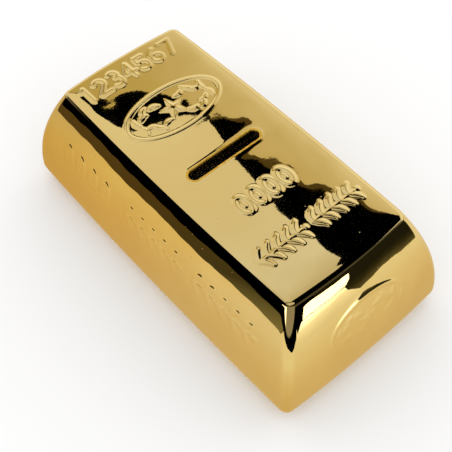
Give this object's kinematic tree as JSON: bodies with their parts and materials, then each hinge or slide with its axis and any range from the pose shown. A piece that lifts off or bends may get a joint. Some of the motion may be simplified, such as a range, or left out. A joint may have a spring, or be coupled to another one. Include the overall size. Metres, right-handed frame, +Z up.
{
  "type": "ingot coin bank",
  "caption": "Gold-coloured ceramic coin bank shaped like a cast ingot, with a coin slot on top, a pull-out rubber stopper underneath and felt feet.",
  "frame": {"origin": "on the surface that the bank stands on, under the middle of the body", "axes": "+Z up towards the face with the coin slot; +X along the body towards the end wall with the seal; +Y across it"},
  "size_m": [0.1824, 0.095, 0.0613],
  "materials": {
    "gold_glaze": "mirror-bright gold lustre over glazed ceramic",
    "stopper_rubber": "matte dark grey rubber",
    "pad_felt": "black felt"
  },
  "bodies": {
    "bank": {"ceramic_body": "gold_glaze", "foot_pad_front_left": "pad_felt", "foot_pad_front_right": "pad_felt", "foot_pad_rear_left": "pad_felt", "foot_pad_rear_right": "pad_felt"},
    "stopper": {"rubber_stopper": "stopper_rubber"}
  },
  "joints": [
    {"name": "stopper_pull", "type": "slide", "parent": "bank", "child": "stopper", "axis": [0, 0, -1], "range_m": [0, 0.022]}
  ]
}
